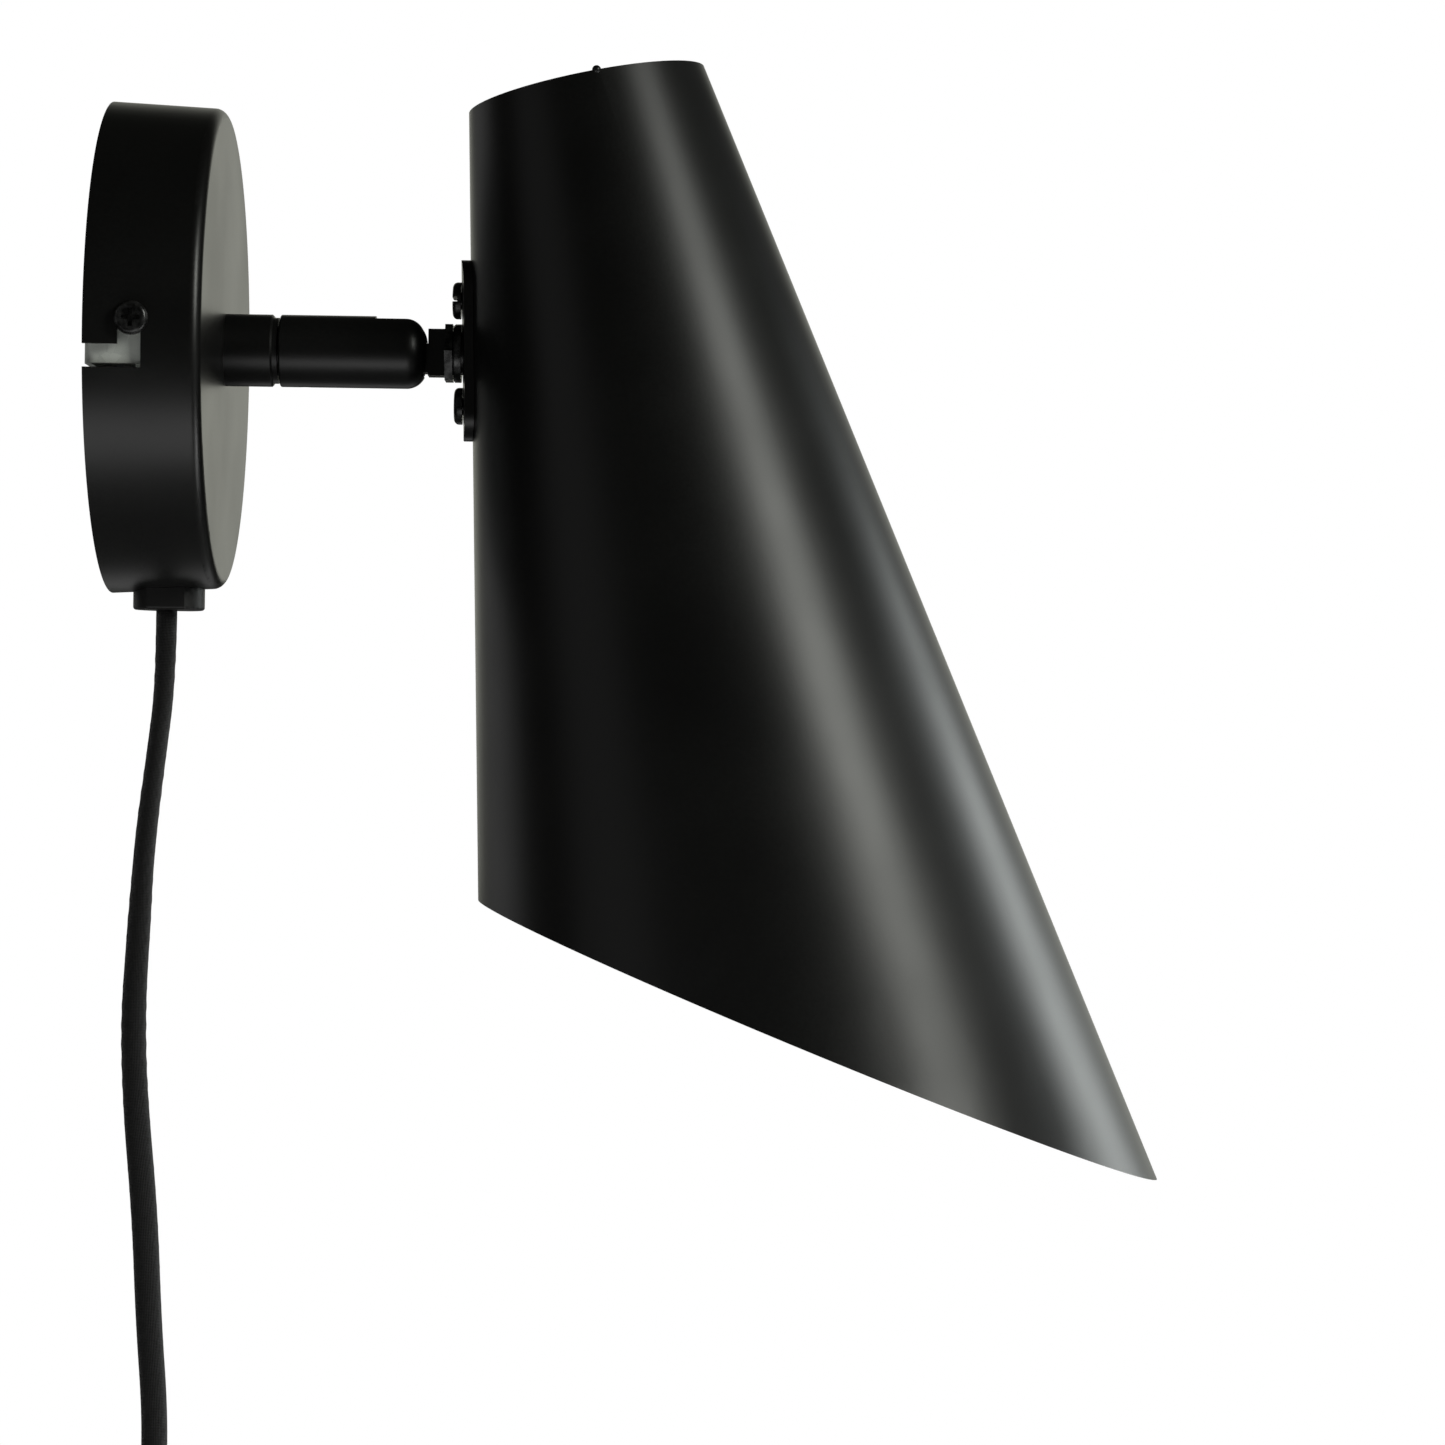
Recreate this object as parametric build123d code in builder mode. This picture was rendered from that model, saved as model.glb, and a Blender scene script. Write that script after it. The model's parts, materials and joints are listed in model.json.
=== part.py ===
from build123d import *
import os
from math import cos, pi, radians, sin, tan

os.makedirs("parts", exist_ok=True)

# Plug-in wall lamp with a knuckle-jointed cone shade.
# Frame: origin at the centre of the canopy's back on the wall, +X out of the wall, +Z up.

# ---------------------------------------------------------------- driving dimensions (mm)
# canopy: a drawn steel cup that covers the wall bracket
CUP_BACK_R = 55.6
CUP_FRONT_R = 54.3
CUP_DEPTH = 25.2
SHEET = 1.0
CUP_EDGE_R = 2.5

# bayonet slots in the canopy's rim, one on each side, and their screws
SLOT_WIDTH = 5.0
SLOT_LOW_Z = -9.05
SLOT_FAR_X = 12.5
SCREW_X = 10.45
SCREW_Z = 1.5
M4_R = 2.0
CROSS_RECESS = ((1.05, 0.26), (0.26, 1.05))
UPRIGHT_SLOT = ((2.4, 0.24),)
LEVEL_SLOT = ((0.24, 2.4),)

# wall bracket: a flat bar with an ear bent up at each end
BAR_WIDTH = 16.0
BAR_THICK = 1.5
BAR_HALF = 52.8
EAR_HEIGHT = 17.0
BEND_R = 1.1
WALL_SLOT_Y = 30.0
WALL_SLOT_LONG = 12.0
WALL_SLOT_WIDE = 5.0

# hollow M10 x 1 threads, modelled as plain cylinders
M10_R = 4.9
M10_HOLE_R = 5.1
M10_BORE_R = 3.2

# neck: a collar on the canopy, and a knuckle that swivels on it
NECK_R = 8.2
COLLAR_END = 36.1
SPIGOT_START = 37.2
SPIGOT_END = 48.0
SPIGOT_R = 5.6
RUNNING = 0.05
GAP = 0.4
KNUCKLE_END = 70.8
KNUCKLE_ROUND = 4.6
FORK_START = 59.2
FORK_HALF = 3.5
FORK_FLOOR = -5.6
PIVOT_X = 66.2
PIVOT_R = 1.9
TONGUE_HALF = 3.0
EYE_R = 5.0
STEM_R = 5.3
STEM_START = 71.2
STEM_END = 75.0
STUD_END = 92.0

PIVOT_SEAT = 5.6
PIVOT_HEAD_R = 3.0
GRUB_X = 43.2
GRUB_R = 1.5
WEB_TOP = 1.9
STUD_BORE_R = 2.2

# shade: a straight cone, cut square at the top and aslant at the mouth
SHADE_LEAN = 12.22
SHADE_HALF_ANGLE = 10.71
SHADE_APEX_X = 75.7
SHADE_APEX_Z = 201.5
SHADE_TOP = 144.4
SHADE_LOW = 430.0
MOUTH_X = 84.3
MOUTH_Z = -124.2
MOUTH_SLOPE = 21.5
SEAM_TURN = 6.0
SEAM_BEAD_R = 1.0

# clamp plate outside the shade and holder bracket inside it
PLATE_THICK = 2.1
PLATE_WIDE = 15.0
PLATE_LONG = 41.0
PLATE_Z = 0.6
PLATE_SCREW_Z = 12.0
LEG_THICK = 1.5

# lamp holder and lamp, placed by their distance from the cone's apex along its axis
ARM_AT = 178.0
HOLDER_TOP = ARM_AT + LEG_THICK
HOLDER_END = 232.0
HOLDER_R = 13.8
LAMP_TIP = 207.0
LAMP_COLLAR = 227.0
GLOBE_AT = 266.0
GLOBE_R = 22.5
GLOBE_NECK_R = 15.0
GLOBE_WALL = 1.2
SHELL_R = 7.2
WIRE_ENTRY = 195.0

# strain relief and cord
GLAND_X = 13.0
GLAND_R = 8.1
GLAND_LOW = -59.4
GLAND_HIGH = 7.0
GLAND_NECK = 9.5
BLOCK_X = 13.0
BLOCK_Z = -31.0
BLOCK_DEEP = 11.0
BLOCK_WIDE = 17.0
BLOCK_HIGH = 17.0
POLE_PITCH = 8.0
WIRE_R = 0.9
CORD_R = 2.8
CORD_X = 12.5
SWITCH_TOP = -256.0
SWITCH_LONG = 54.0
SWITCH_WIDE = 26.0
SWITCH_THICK = 17.0
ROCKER_HALF = 8.2
ROCKER_HALF_WIDE = 4.7
ROCKER_TILT = 8.0
COIL_R = 31.0
COIL_BUNDLE = 17.4
COIL_X = 12.6
COIL_Y = -36.8
COIL_Z = -352.0
TIE_START = -101.0
TIE_ARC = 22.0
TIE_THICK = 1.25
TAIL_X = 18.3
PLUG_TOP = -386.0
PLUG_TAPER = 22.0
PLUG_LONG = 34.0
PLUG_WIDE = 35.3
PLUG_THICK = 13.7
PIN_R = 2.0
PIN_LONG = 19.0
PIN_PITCH = 18.6

# ---------------------------------------------------------------- shared frames and shapes
LEAN = radians(SHADE_LEAN)
FLARE = tan(radians(SHADE_HALF_ANGLE))
APEX = Vector(SHADE_APEX_X, 0, SHADE_APEX_Z)
DOWN_AXIS = Vector(sin(LEAN), 0, -cos(LEAN))
ACROSS = Vector(cos(LEAN), 0, sin(LEAN))
SHADE_AXIS = Axis(APEX, DOWN_AXIS)
# ALONG looks down the cone from its apex; SECTION holds its profile as (radius, distance)
ALONG = Plane(origin=APEX, x_dir=ACROSS, z_dir=DOWN_AXIS)
SECTION = Plane(origin=APEX, x_dir=ACROSS, z_dir=(0, 1, 0))


def export(part, name):
    part.label = name
    export_step(part, f"parts/{name}.step")


def cup_radius(x):
    """The canopy's outer radius at a distance from the wall."""
    return CUP_BACK_R - (CUP_BACK_R - CUP_FRONT_R) * x / CUP_DEPTH


def shade_back_x(z):
    """Where the shade's outer face on the wall side lies at a height."""
    return SHADE_APEX_X + (SHADE_APEX_Z - z) * tan(radians(SHADE_LEAN - SHADE_HALF_ANGLE))


def wall_strip(start, end, outer, inner):
    """A strip of the cone's section between two distances, offset square to its outer face."""
    square = cos(radians(SHADE_HALF_ANGLE))
    near, far = start * FLARE, end * FLARE
    return [
        (near + outer / square, start),
        (far + outer / square, end),
        (far + inner / square, end),
        (near + inner / square, start),
    ]


def turned(points, plane, axis):
    """A solid of revolution from the corners of its half profile."""
    with BuildPart(mode=Mode.PRIVATE) as solid:
        with BuildSketch(plane):
            with BuildLine():
                Polyline(*points, close=True)
            make_face()
        revolve(axis=axis)
    return solid.part


def on_x(*points):
    """Turned about the neck's axis, from (x, radius) corners."""
    return turned(points, Plane.XY, Axis.X)


def on_shade(*points):
    """Turned about the cone's axis, from (radius, distance from the apex) corners."""
    return turned(points, SECTION, SHADE_AXIS)


def hex_nut(plane, across, height, hole_r):
    """A hexagon nut that stands on a plane, with two flats along the plane's x."""
    with BuildPart(mode=Mode.PRIVATE) as nut:
        with BuildSketch(plane):
            RegularPolygon(across / 2, 6, major_radius=False, rotation=0)
            Circle(hole_r, mode=Mode.SUBTRACT)
        extrude(amount=height)
    return nut.part


def pan_screw(start, direction, head_r, head_high, shank_r, shank_long, recess):
    """A pan head with its seat at start and a plain shank along direction.
    The recess is a set of bars, each with its two sides as parts of the head's radius."""
    seat = Plane(origin=start, z_dir=direction)
    with BuildPart(mode=Mode.PRIVATE) as screw:
        with BuildSketch(seat):
            Circle(shank_r)
        extrude(amount=shank_long)
        with BuildSketch(seat):
            Circle(head_r)
        extrude(amount=-head_high)
        rims = screw.edges().filter_by(GeomType.CIRCLE).sort_by(Axis(start, direction))
        fillet(rims[0], head_high * 0.6)
        with BuildSketch(seat.offset(-head_high)):
            for bar_long, bar_wide in recess:
                Rectangle(head_r * bar_long, head_r * bar_wide)
        extrude(amount=head_high * 0.6, mode=Mode.SUBTRACT)
    return screw.part


def pipe(points, bends, radius, name):
    """A round tube on straight runs joined by tangent arcs; prints how well its volume agrees."""
    with BuildPart(mode=Mode.PRIVATE) as tube:
        with BuildLine() as route:
            FilletPolyline(*points, radius=bends)
        path = route.wire()
        with BuildSketch(Plane(origin=path @ 0, z_dir=path % 0)):
            Circle(radius)
        sweep(path=path)
    ratio = tube.part.volume / (pi * radius**2 * path.length)
    print(f"{name}: length {path.length:.1f}, volume ratio {ratio:.4f}")
    return tube.part


def arc_radii(points):
    """0.45 of the shorter run over the tangent of half the turn, at each inner corner."""
    radii = []
    for before, here, after in zip(points, points[1:], points[2:]):
        run_in = Vector(*here) - Vector(*before)
        run_out = Vector(*after) - Vector(*here)
        turn = radians(run_in.get_angle(run_out))
        radii.append(0.45 * min(run_in.length, run_out.length) / tan(turn / 2))
    return radii


# ---------------------------------------------------------------- wall bracket
with BuildPart() as wall_bracket:
    with BuildSketch(Plane.XY.offset(-BAR_WIDTH / 2)):
        with BuildLine():
            Polyline(
                (EAR_HEIGHT, -BAR_HALF),
                (0, -BAR_HALF),
                (0, BAR_HALF),
                (EAR_HEIGHT, BAR_HALF),
                (EAR_HEIGHT, BAR_HALF - BAR_THICK),
                (BAR_THICK, BAR_HALF - BAR_THICK),
                (BAR_THICK, -BAR_HALF + BAR_THICK),
                (EAR_HEIGHT, -BAR_HALF + BAR_THICK),
                close=True,
            )
        strip = make_face()
        fillet(strip.vertices().group_by(Axis.X)[0], BEND_R + BAR_THICK)
        fillet(strip.vertices().group_by(Axis.X)[1], BEND_R)
    extrude(amount=BAR_WIDTH)
    with BuildSketch(Plane.YZ):
        with Locations((-WALL_SLOT_Y, 0), (WALL_SLOT_Y, 0)):
            SlotOverall(WALL_SLOT_LONG, WALL_SLOT_WIDE)
    extrude(amount=BAR_THICK, mode=Mode.SUBTRACT)
    for side in (-1, 1):
        with BuildSketch(Plane.XZ):
            with Locations((SCREW_X, -side * SCREW_Z)):
                Circle(M4_R + 0.05)
        extrude(amount=-side * (BAR_HALF + 1), mode=Mode.SUBTRACT)
    fillet(wall_bracket.edges().filter_by(Axis.Y).group_by(Axis.X)[-1], 2.0)
export(wall_bracket.part, "wall_bracket")

# ---------------------------------------------------------------- canopy
with BuildPart() as canopy:
    with BuildSketch(Plane.XY):
        with BuildLine():
            Polyline(
                (0, CUP_BACK_R),
                (CUP_DEPTH, CUP_FRONT_R),
                (CUP_DEPTH, M10_HOLE_R),
                (CUP_DEPTH - SHEET, M10_HOLE_R),
                (CUP_DEPTH - SHEET, CUP_FRONT_R - SHEET),
                (0, CUP_BACK_R - SHEET),
                close=True,
            )
        cup = make_face()
        corners = cup.vertices().sort_by(Axis((0, 0, 0), (1, 1, 0)))
        fillet(corners[-1], CUP_EDGE_R)
        fillet(corners[-2], CUP_EDGE_R - SHEET)
    revolve(axis=Axis.X)
    for side in (-1, 1):
        low = side * -SLOT_LOW_Z
        high = side * -(SLOT_LOW_Z + SLOT_WIDTH)
        end = side * -SCREW_Z
        leg_x = SLOT_FAR_X - SLOT_WIDTH
        with BuildSketch(Plane.XZ):
            with BuildLine():
                Polyline(
                    (-1, low), (SLOT_FAR_X, low), (SLOT_FAR_X, end),
                    (leg_x, end), (leg_x, high), (-1, high), close=True,
                )
            make_face()
            with Locations((SLOT_FAR_X - SLOT_WIDTH / 2, end)):
                Circle(SLOT_WIDTH / 2)
        extrude(amount=-side * (CUP_BACK_R + 1), mode=Mode.SUBTRACT)
    with BuildSketch(Plane.XY):
        with Locations((GLAND_X, 0)):
            Circle(M10_HOLE_R)
    extrude(amount=-CUP_BACK_R - 1, mode=Mode.SUBTRACT)
export(canopy.part, "canopy")

# ---------------------------------------------------------------- canopy screws
canopy_screws = []
for side in (-1, 1):
    seat_y = side * (cup_radius(SCREW_X) + 0.25)
    seat = (SCREW_X, seat_y, -side * SCREW_Z)
    canopy_screws.append(pan_screw(seat, (0, -side, 0), 3.7, 1.9, M4_R, 9.0, CROSS_RECESS))
export(Compound(canopy_screws), "canopy_screws")

# ---------------------------------------------------------------- strain relief under the canopy
with BuildPart() as strain_relief:
    with BuildSketch(Plane.XY.offset(GLAND_LOW)):
        with Locations((GLAND_X, 0)):
            Circle(GLAND_R)
            Rectangle(2 * GLAND_R, 2 * GLAND_R - 2.4, mode=Mode.INTERSECT)
    extrude(amount=GLAND_HIGH)
    fillet(strain_relief.edges().group_by(Axis.Z)[0], 0.7)
    with BuildSketch(Plane.XY):
        Polygon(
            (0, 0),
            (0, cup_radius(0) + 0.02),
            (CUP_DEPTH, cup_radius(CUP_DEPTH) + 0.02),
            (CUP_DEPTH, 0),
            align=None,
        )
    revolve(axis=Axis.X, mode=Mode.SUBTRACT)
    with BuildSketch(Plane.XY.offset(GLAND_LOW + 2)):
        with Locations((GLAND_X, 0)):
            Circle(M10_R)
    extrude(amount=GLAND_NECK)
    with BuildSketch(Plane.XY.offset(GLAND_LOW)):
        with Locations((CORD_X, 0)):
            Circle(CORD_R - 0.6)
    extrude(amount=GLAND_NECK + 3, mode=Mode.SUBTRACT)
export(strain_relief.part, "strain_relief")

relief_nut = hex_nut(Plane((GLAND_X, 0, -CUP_FRONT_R + 2.0)), 14.0, 3.0, M10_R + 0.05)
export(relief_nut, "strain_relief_nut")

# ---------------------------------------------------------------- terminal block and wires in the canopy
with BuildPart() as terminal_block:
    with Locations((BLOCK_X, 0, BLOCK_Z)):
        Box(BLOCK_DEEP, BLOCK_WIDE, BLOCK_HIGH)
        fillet(terminal_block.edges(), 1.0)
    front = Plane(origin=(BLOCK_X - BLOCK_DEEP / 2, 0, BLOCK_Z), x_dir=(0, 1, 0), z_dir=(-1, 0, 0))
    with BuildSketch(front):
        with GridLocations(POLE_PITCH, BLOCK_HIGH * 0.5, 2, 2):
            Circle(2.0)
    extrude(amount=-4.0, mode=Mode.SUBTRACT)
    with BuildSketch(Plane.XY.offset(BLOCK_Z - BLOCK_HIGH / 2)):
        with Locations((BLOCK_X, -POLE_PITCH / 2), (BLOCK_X, POLE_PITCH / 2)):
            Circle(1.7)
    extrude(amount=BLOCK_HIGH, mode=Mode.SUBTRACT)
export(terminal_block.part, "terminal_block")

with BuildPart() as terminal_screws:
    with BuildSketch(front.offset(-4.0)):
        with GridLocations(POLE_PITCH, BLOCK_HIGH * 0.5, 2, 2):
            Circle(1.8)
    extrude(amount=2.6)
    with BuildSketch(front.offset(-1.4)):
        with GridLocations(POLE_PITCH, BLOCK_HIGH * 0.5, 2, 2):
            Rectangle(0.6, 4)
    extrude(amount=-0.8, mode=Mode.SUBTRACT)
export(terminal_screws.part, "terminal_screws")

for colour, side in (("brown", -1), ("blue", 1)):
    pole_y = side * POLE_PITCH / 2
    pair_y = side * WIRE_R * 1.3
    block_top = BLOCK_Z + BLOCK_HIGH / 2
    block_low = BLOCK_Z - BLOCK_HIGH / 2
    lamp_side = [
        (BLOCK_X, pole_y, block_top - 6),
        (BLOCK_X, pole_y, block_top + 3),
        (8.0, pair_y, block_top + 9),
        (8.0, pair_y, 0),
        (SPIGOT_END - 2, pair_y, 0),
    ]
    supply_side = [
        (CORD_X, pair_y, -48.0),
        (CORD_X, pair_y, block_low - 3),
        (BLOCK_X, pole_y, block_low - 0.5),
        (BLOCK_X, pole_y, block_low + 5),
    ]
    pair = [
        pipe(lamp_side, 2.5, WIRE_R, colour + " lamp wire"),
        pipe(supply_side, 1.0, WIRE_R, colour + " supply wire"),
    ]
    export(Compound(pair), f"{colour}_wires")

# ---------------------------------------------------------------- neck: nipple, washer, nut and collar
nipple = on_x((14, M10_BORE_R), (14, M10_R), (33.5, M10_R), (33.5, M10_BORE_R))
export(nipple, "neck_nipple")

inner_face = CUP_DEPTH - SHEET
with BuildPart() as nipple_washer:
    with BuildSketch(Plane.YZ.offset(inner_face - 0.8)):
        Circle(8.0)
        Circle(M10_HOLE_R, mode=Mode.SUBTRACT)
        with PolarLocations(8.0, 16):
            Rectangle(1.6, 0.9, mode=Mode.SUBTRACT)
    extrude(amount=0.8)
export(nipple_washer.part, "nipple_lock_washer")
export(hex_nut(Plane.YZ.offset(inner_face - 3.8), 14.0, 3.0, M10_R + 0.05), "nipple_nut")

# The collar's spigot runs in the knuckle, and a grub screw in the spigot's groove keeps it there.
neck_collar = on_x(
    (CUP_DEPTH, M10_R + 0.05),
    (CUP_DEPTH, NECK_R),
    (COLLAR_END - 0.4, NECK_R),
    (COLLAR_END, NECK_R - 0.4),
    (COLLAR_END, NECK_R - 0.7),
    (SPIGOT_START, NECK_R - 0.7),
    (SPIGOT_START, SPIGOT_R),
    (GRUB_X - 1.75, SPIGOT_R),
    (GRUB_X - 1.75, SPIGOT_R - 1.0),
    (GRUB_X + 1.75, SPIGOT_R - 1.0),
    (GRUB_X + 1.75, SPIGOT_R),
    (SPIGOT_END, SPIGOT_R),
    (SPIGOT_END, M10_BORE_R),
    (34.0, M10_BORE_R),
    (34.0, M10_R + 0.05),
)
export(neck_collar, "neck_collar")

# ---------------------------------------------------------------- knuckle, which swivels on the collar
with BuildPart() as knuckle_body:
    with BuildSketch(Plane.XY):
        with BuildLine():
            Polyline(
                (SPIGOT_START + GAP, SPIGOT_R + RUNNING),
                (SPIGOT_START + GAP, NECK_R),
                (KNUCKLE_END, NECK_R),
                (KNUCKLE_END, 0),
                (SPIGOT_END + GAP, 0),
                (SPIGOT_END + GAP, SPIGOT_R + RUNNING),
                close=True,
            )
        profile = make_face()
        fillet(profile.vertices().sort_by(Axis((0, 0, 0), (1, 1, 0)))[-1], KNUCKLE_ROUND)
    revolve(axis=Axis.X)
    near_end = knuckle_body.edges().filter_by(GeomType.CIRCLE).group_by(Axis.X)[0]
    fillet(near_end.sort_by(SortBy.RADIUS)[-1], 0.4)
    with BuildSketch(Plane.YZ.offset(SPIGOT_END)):
        Circle(M10_BORE_R)
    extrude(amount=FORK_START - SPIGOT_END + 1, mode=Mode.SUBTRACT)
    with BuildSketch(Plane.YZ.offset(FORK_START)):
        with Locations((0, FORK_FLOOR)):
            Rectangle(2 * FORK_HALF, 2 * NECK_R, align=(Align.CENTER, Align.MIN))
    extrude(amount=KNUCKLE_END, mode=Mode.SUBTRACT)
    with BuildSketch(Plane.XZ):
        with Locations((PIVOT_X, 0)):
            Circle(PIVOT_R + 0.1)
    extrude(amount=-NECK_R, mode=Mode.SUBTRACT)
    with BuildSketch(Plane.XZ):
        with Locations((PIVOT_X, 0)):
            Circle(PIVOT_R + 0.05)
    extrude(amount=FORK_HALF + 3.2, mode=Mode.SUBTRACT)
    with BuildSketch(Plane.XZ.offset(-PIVOT_SEAT)):
        with Locations((PIVOT_X, 0)):
            Circle(PIVOT_HEAD_R + 0.15)
    extrude(amount=-NECK_R, mode=Mode.SUBTRACT)
    with BuildSketch(Plane.XY):
        with Locations((GRUB_X, 0)):
            Circle(GRUB_R + 0.05)
    extrude(amount=-NECK_R, mode=Mode.SUBTRACT)
export(knuckle_body.part, "knuckle_body")

with BuildPart() as grub_screw:
    with BuildSketch(Plane.XY.offset(-NECK_R + 0.5)):
        with Locations((GRUB_X, 0)):
            Circle(GRUB_R)
    extrude(amount=NECK_R - SPIGOT_R - 0.5 - 0.1)
    with BuildSketch(Plane.XY.offset(-SPIGOT_R - 0.1)):
        with Locations((GRUB_X, 0)):
            Circle(GRUB_R - 0.3)
    extrude(amount=0.7)
    with BuildSketch(Plane.XY.offset(-NECK_R + 0.5)):
        with Locations((GRUB_X, 0)):
            RegularPolygon(0.75, 6, major_radius=False)
    extrude(amount=1.2, mode=Mode.SUBTRACT)
export(grub_screw.part, "swivel_grub_screw")

with BuildPart() as pivot_screw:
    with BuildSketch(Plane.XZ.offset(FORK_HALF + 3.0)):
        with Locations((PIVOT_X, 0)):
            Circle(PIVOT_R)
    extrude(amount=-(PIVOT_SEAT + FORK_HALF + 3.0))
    with BuildSketch(Plane.XZ.offset(-PIVOT_SEAT)):
        with Locations((PIVOT_X, 0)):
            Circle(PIVOT_HEAD_R)
    extrude(amount=-1.9)
    with BuildSketch(Plane.XZ.offset(-PIVOT_SEAT - 1.9)):
        with Locations((PIVOT_X, 0)):
            RegularPolygon(1.25, 6, major_radius=False)
    extrude(amount=1.2, mode=Mode.SUBTRACT)
export(pivot_screw.part, "pivot_screw")

with BuildPart() as friction_washers:
    for side in (-1, 1):
        with BuildSketch(Plane.XZ.offset(-side * FORK_HALF)):
            with Locations((PIVOT_X, 0)):
                Circle(EYE_R - 0.6)
                Circle(PIVOT_R + 0.1, mode=Mode.SUBTRACT)
        extrude(amount=side * (FORK_HALF - TONGUE_HALF - 0.1))
export(friction_washers.part, "friction_washers")

# ---------------------------------------------------------------- tongue and its hollow stud
with BuildPart() as knuckle_tongue:
    with BuildSketch(Plane.XZ.offset(-TONGUE_HALF)):
        with Locations((PIVOT_X, 0)):
            Circle(EYE_R)
        Polygon(
            (PIVOT_X, -EYE_R + 0.4),
            (STEM_END, -EYE_R + 0.4),
            (STEM_END, WEB_TOP),
            (PIVOT_X, WEB_TOP),
            align=None,
        )
        Polygon(
            (STEM_START, -STEM_R),
            (STEM_END, -STEM_R),
            (STEM_END, STEM_R),
            (STEM_START, STEM_R),
            align=None,
        )
        with Locations((PIVOT_X, 0)):
            Circle(PIVOT_R + RUNNING, mode=Mode.SUBTRACT)
    extrude(amount=2 * TONGUE_HALF)
    with BuildSketch(Plane.YZ.offset(STEM_END)):
        Circle(M10_R)
    extrude(amount=STUD_END - STEM_END)
    with BuildSketch(Plane.YZ.offset(STUD_END)):
        Circle(STUD_BORE_R)
    extrude(amount=-(STUD_END - PIVOT_X - 3.6), mode=Mode.SUBTRACT)
export(knuckle_tongue.part, "knuckle_tongue")

export(hex_nut(Plane.YZ.offset(STEM_END + 0.05), 12.7, 1.75, M10_R + 0.05), "stud_lock_nut")
stud_washer = on_x(
    (STEM_END + 2.0, M10_R + 0.1),
    (STEM_END + 2.0, 6.35),
    (STEM_END + 2.3, 6.65),
    (STEM_END + 3.7, 6.65),
    (STEM_END + 3.7, M10_R + 0.1),
)
export(stud_washer, "stud_washer")

# ---------------------------------------------------------------- shade
with BuildPart() as shade:
    with BuildSketch(SECTION):
        Polygon(*wall_strip(SHADE_TOP, SHADE_LOW, 0, -SHEET), align=None)
    revolve(axis=SHADE_AXIS)
    slope = radians(MOUTH_SLOPE)
    mouth = Plane(origin=(MOUTH_X, 0, MOUTH_Z), z_dir=(sin(slope), 0, cos(slope)))
    split(bisect_by=mouth, keep=Keep.TOP)
    with BuildSketch(Plane.YZ.offset(STEM_END)):
        Circle(M10_HOLE_R)
        with Locations((0, PLATE_SCREW_Z), (0, -PLATE_SCREW_Z)):
            Circle(M4_R + 0.2)
    extrude(amount=STUD_END - STEM_END, mode=Mode.SUBTRACT)
    # the end of the welded seam leaves a small bead on the top rim
    seam_way = ACROSS * sin(radians(SEAM_TURN)) - Vector(0, 1, 0) * cos(radians(SEAM_TURN))
    rim_middle_r = SHADE_TOP * FLARE - SHEET / 2
    with Locations(APEX + DOWN_AXIS * SHADE_TOP + seam_way * rim_middle_r):
        Sphere(SEAM_BEAD_R)
export(shade.part, "shade")

# ---------------------------------------------------------------- clamp plate outside, holder bracket inside
with BuildPart() as shade_bracket:
    with BuildSketch(SECTION):
        Polygon(*wall_strip(SHADE_TOP, 260, PLATE_THICK, 0.03), align=None)
    revolve(axis=SHADE_AXIS)
    with BuildSketch(Plane.YZ.offset(STEM_END - 5)):
        with Locations((0, PLATE_Z)):
            RectangleRounded(PLATE_WIDE, PLATE_LONG, 6.0)
        Circle(M10_HOLE_R, mode=Mode.SUBTRACT)
        with Locations((0, PLATE_SCREW_Z), (0, -PLATE_SCREW_Z)):
            Circle(M4_R + 0.2, mode=Mode.SUBTRACT)
    extrude(amount=STUD_END - STEM_END, mode=Mode.INTERSECT)
export(shade_bracket.part, "shade_bracket")

with BuildPart() as holder_bracket:
    leg_face = SHEET + 0.03
    with BuildSketch(SECTION):
        Polygon(*wall_strip(SHADE_TOP, 260, -leg_face, -leg_face - LEG_THICK), align=None)
    revolve(axis=SHADE_AXIS)
    with BuildSketch(Plane.YZ.offset(STEM_END)):
        with Locations((0, PLATE_SCREW_Z / 2)):
            RectangleRounded(PLATE_WIDE, PLATE_LONG + PLATE_SCREW_Z, 3.0)
    extrude(amount=STUD_END - STEM_END, mode=Mode.INTERSECT)
    split(bisect_by=ALONG.offset(ARM_AT), keep=Keep.TOP)
    arm_out = ARM_AT * FLARE - leg_face - 1.3
    with BuildSketch(ALONG.offset(ARM_AT)):
        with Locations((-arm_out, 0)):
            Rectangle(arm_out, PLATE_WIDE, align=(Align.MIN, Align.CENTER))
        Circle(PLATE_WIDE / 2)
    extrude(amount=LEG_THICK)
    with BuildSketch(ALONG.offset(ARM_AT)):
        Circle(M10_HOLE_R)
    extrude(amount=LEG_THICK, mode=Mode.SUBTRACT)
    with BuildSketch(Plane.YZ.offset(STEM_END)):
        Circle(M10_HOLE_R)
        with Locations((0, PLATE_SCREW_Z), (0, -PLATE_SCREW_Z)):
            Circle(M4_R + 0.2)
    extrude(amount=STUD_END - STEM_END, mode=Mode.SUBTRACT)
export(holder_bracket.part, "holder_bracket")

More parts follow.
